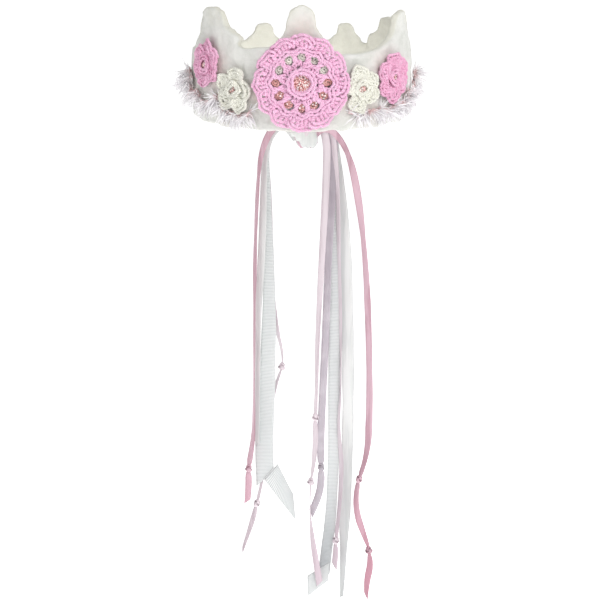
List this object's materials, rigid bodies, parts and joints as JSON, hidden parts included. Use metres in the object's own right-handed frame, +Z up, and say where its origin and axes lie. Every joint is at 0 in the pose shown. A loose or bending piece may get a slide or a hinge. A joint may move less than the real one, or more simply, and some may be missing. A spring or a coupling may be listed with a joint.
{
  "type": "flower crown",
  "caption": "Felted child's flower crown in rounded points, with a crocheted rosette, small flowers, eyelash yarn and a hanging bunch of ribbon tails.",
  "frame": {"origin": "on the axis of the head opening, in the plane of the crown's lower edge", "axes": "+Z up through the crown, front of the crown (rosette) faces -Y, ribbons hang at the back on +Y"},
  "size_m": [0.191, 0.1873, 0.5431],
  "materials": {
    "cream_felt": "matte wet-felted wool, slightly lumpy, with loose surface fibres",
    "pink_crochet_yarn": "soft plied acrylic yarn, matte",
    "rose_crochet_yarn": "plied yarn with a fine pale strand, matte",
    "ivory_crochet_yarn": "soft plied yarn, matte",
    "pink_bead": "small sparkling faceted bead, clear pink",
    "eyelash_yarn": "coral core with long silvery white polyester lashes, glossy",
    "sewing_thread": "fine cotton thread",
    "pink_satin": "dusty pink satin ribbon with woven selvedges",
    "pale_satin": "pale lilac-pink satin ribbon",
    "white_grosgrain": "white ribbed grosgrain ribbon",
    "lilac_sheer": "sheer lilac-grey organza ribbon with denser edges"
  },
  "bodies": {
    "crown": {"felt_crown": "cream_felt", "rosette_spoke_round": "pink_crochet_yarn", "rosette_centre_ring": "pink_crochet_yarn", "rosette_arch_round": "pink_crochet_yarn", "rosette_scallop_edge": "pink_crochet_yarn", "rosette_bead": "pink_bead", "left_white_flower_petals": "ivory_crochet_yarn", "left_white_flower_ring": "ivory_crochet_yarn", "left_white_flower_bead": "pink_bead", "left_pink_flower_petals": "rose_crochet_yarn", "left_pink_flower_ring": "rose_crochet_yarn", "left_pink_flower_bead": "pink_bead", "right_white_flower_petals": "ivory_crochet_yarn", "right_white_flower_ring": "ivory_crochet_yarn", "right_white_flower_bead": "pink_bead", "right_pink_flower_petals": "rose_crochet_yarn", "right_pink_flower_ring": "rose_crochet_yarn", "right_pink_flower_bead": "pink_bead", "eyelash_yarn_left": "eyelash_yarn", "eyelash_yarn_right": "eyelash_yarn", "eyelash_yarn_middle": "eyelash_yarn", "sewing_stitches": "sewing_thread", "ribbon_bridge": "white_grosgrain"},
    "ribbon_knot": {"ribbon_hanger": "white_grosgrain", "ribbon_knot": "white_grosgrain", "pinked_ribbon_end": "pale_satin", "left_pink_shoulder": "pink_satin", "left_ribbon_shoulder": "white_grosgrain", "right_ribbon_shoulder": "white_grosgrain", "right_pink_shoulder": "pink_satin"},
    "left_tails": {"left_narrow_white_tail": "white_grosgrain", "left_wide_grosgrain_tail": "white_grosgrain", "left_inner_pink_tail": "pink_satin"},
    "left_pink_tail": {"left_pink_satin_tail": "pink_satin"},
    "right_tails": {"right_pale_satin_tail": "pale_satin", "right_sheer_tail": "lilac_sheer", "right_wide_grosgrain_tail": "white_grosgrain", "right_inner_pink_tail": "pale_satin", "right_wide_white_tail": "white_grosgrain"},
    "right_pink_tail": {"right_pink_satin_tail": "pink_satin"}
  },
  "joints": [
    {"name": "ribbon_bunch_swing", "type": "hinge", "parent": "crown", "child": "ribbon_knot", "pos_m": [0, 0.0886, 0.008], "axis": [1, 0, 0], "range_deg": [-15, 80]},
    {"name": "left_tails_swing", "type": "hinge", "parent": "ribbon_knot", "child": "left_tails", "pos_m": [-0.0302, 0.0886, -0.05], "axis": [0, 1, 0], "range_deg": [0, 75]},
    {"name": "left_pink_tail_swing", "type": "hinge", "parent": "ribbon_knot", "child": "left_pink_tail", "pos_m": [-0.0335, 0.0886, -0.05], "axis": [0, 1, 0], "range_deg": [0, 75]},
    {"name": "right_tails_swing", "type": "hinge", "parent": "ribbon_knot", "child": "right_tails", "pos_m": [0.0274, 0.0886, -0.05], "axis": [0, -1, 0], "range_deg": [0, 75]},
    {"name": "right_pink_tail_swing", "type": "hinge", "parent": "ribbon_knot", "child": "right_pink_tail", "pos_m": [0.042, 0.0886, -0.06], "axis": [0, -1, 0], "range_deg": [0, 75]}
  ]
}
